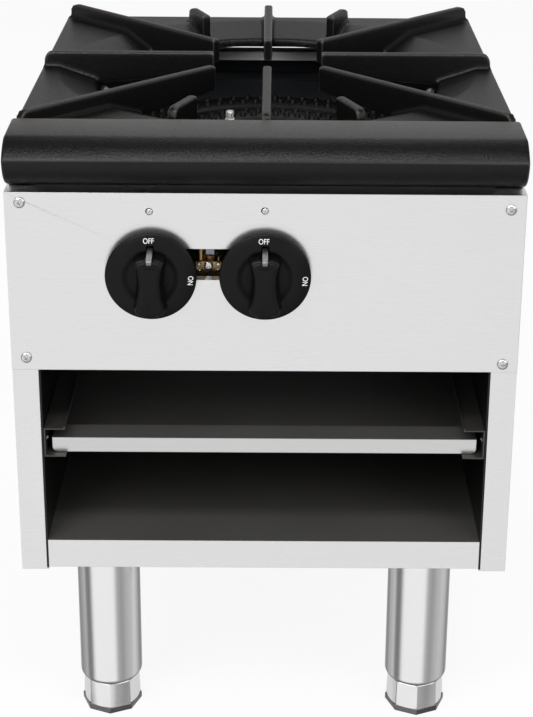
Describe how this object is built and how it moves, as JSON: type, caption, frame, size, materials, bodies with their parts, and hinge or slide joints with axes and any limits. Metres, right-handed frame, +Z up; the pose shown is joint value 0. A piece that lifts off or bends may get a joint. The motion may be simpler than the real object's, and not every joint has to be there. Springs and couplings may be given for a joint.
{
  "type": "stock pot range",
  "caption": "Low free-standing gas stove with a finned cast grate over a ring burner, two front dials, a pull-out drip tray and an open storage bay on four adjustable legs.",
  "frame": {"origin": "on the floor under the middle of the whole range", "axes": "+X to the right seen from the front, +Y to the back, +Z up; the control panel faces -Y"},
  "size_m": [0.4572, 0.5548, 0.606],
  "materials": {
    "stainless sheet": "brushed stainless sheet, faint horizontal grain",
    "galvanised sheet": "bright aluminised inner sheet, darkened by heat",
    "cast iron": "as-cast iron, dark oiled and seasoned",
    "phenolic": "moulded phenolic, satin grey",
    "brass": "machined brass, slightly tarnished",
    "black pipe": "black steel pipe",
    "aluminium": "plain aluminium",
    "chrome": "bright plated",
    "foot metal": "plated cast foot, satin grey"
  },
  "bodies": {
    "cabinet": {"side_panel_left": "stainless sheet", "side_panel_right": "stainless sheet", "back_panel": "stainless sheet", "bottom_shelf": "stainless sheet", "control_panel": "stainless sheet", "tray_rail_left": "stainless sheet", "tray_rail_right": "stainless sheet", "leg_front_left": "stainless sheet", "leg_front_right": "stainless sheet", "leg_rear_left": "stainless sheet", "leg_rear_right": "stainless sheet", "inner_liner_left": "galvanised sheet", "inner_liner_right": "galvanised sheet", "base_channel_front": "galvanised sheet", "base_channel_rear": "galvanised sheet", "top_front_rail": "galvanised sheet", "burner_baffle": "galvanised sheet", "burner_crossbar_front": "galvanised sheet", "burner_crossbar_rear": "galvanised sheet", "manifold_bracket_left": "galvanised sheet", "manifold_bracket_right": "galvanised sheet", "pilot_bracket": "galvanised sheet", "outer_burner": "cast iron", "inner_burner": "cast iron", "front_nosing": "cast iron", "valve_body_left": "brass", "valve_body_right": "brass", "orifice_left": "brass", "orifice_right": "brass", "pilot_valve": "brass", "gas_manifold": "black pipe", "manifold_end_cap": "black pipe", "gas_inlet_fitting": "black pipe", "pilot_tube": "aluminium", "pilot_burner": "aluminium", "panel_screw_upper_left": "chrome", "panel_screw_upper_right": "chrome", "panel_screw_lower_left": "chrome", "panel_screw_lower_right": "chrome"},
    "knob_body_left": {"knob_left": "phenolic", "indicator_left": "chrome", "valve_stem_left": "aluminium"},
    "knob_body_right": {"knob_right": "phenolic", "indicator_right": "chrome", "valve_stem_right": "aluminium"},
    "tray_body": {"drip_tray": "stainless sheet"},
    "grate_body": {"top_grate": "cast iron"},
    "shutter_body_outer": {"air_shutter_outer": "galvanised sheet"},
    "shutter_body_inner": {"air_shutter_inner": "galvanised sheet"},
    "foot_body_front_left": {"foot_front_left": "foot metal"},
    "foot_body_front_right": {"foot_front_right": "foot metal"},
    "foot_body_rear_left": {"foot_rear_left": "foot metal"},
    "foot_body_rear_right": {"foot_rear_right": "foot metal"}
  },
  "joints": [
    {"name": "knob_left_turn", "type": "hinge", "parent": "cabinet", "child": "knob_body_left", "pos_m": [-0.101, -0.24985, 0.476], "axis": [0, -1, 0], "range_deg": [0, 90]},
    {"name": "knob_right_turn", "type": "hinge", "parent": "cabinet", "child": "knob_body_right", "pos_m": [0, -0.24985, 0.476], "axis": [0, -1, 0], "range_deg": [0, 90]},
    {"name": "drip_tray_slide", "type": "slide", "parent": "cabinet", "child": "tray_body", "axis": [0, -1, 0], "range_m": [0, 0.4]},
    {"name": "grate_lift", "type": "slide", "parent": "cabinet", "child": "grate_body", "axis": [0, 0, 1], "range_m": [0, 0.1]},
    {"name": "air_shutter_outer_turn", "type": "hinge", "parent": "cabinet", "child": "shutter_body_outer", "pos_m": [-0.101, -0.16785, 0.476], "axis": [0, 1, 0], "range_deg": [0, 90]},
    {"name": "air_shutter_inner_turn", "type": "hinge", "parent": "cabinet", "child": "shutter_body_inner", "pos_m": [0, -0.16785, 0.476], "axis": [0, 1, 0], "range_deg": [0, 90]},
    {"name": "foot_front_left_adjust", "type": "slide", "parent": "cabinet", "child": "foot_body_front_left", "axis": [0, 0, -1], "range_m": [0, 0.025]},
    {"name": "foot_front_right_adjust", "type": "slide", "parent": "cabinet", "child": "foot_body_front_right", "axis": [0, 0, -1], "range_m": [0, 0.025]},
    {"name": "foot_rear_left_adjust", "type": "slide", "parent": "cabinet", "child": "foot_body_rear_left", "axis": [0, 0, -1], "range_m": [0, 0.025]},
    {"name": "foot_rear_right_adjust", "type": "slide", "parent": "cabinet", "child": "foot_body_rear_right", "axis": [0, 0, -1], "range_m": [0, 0.025]}
  ]
}
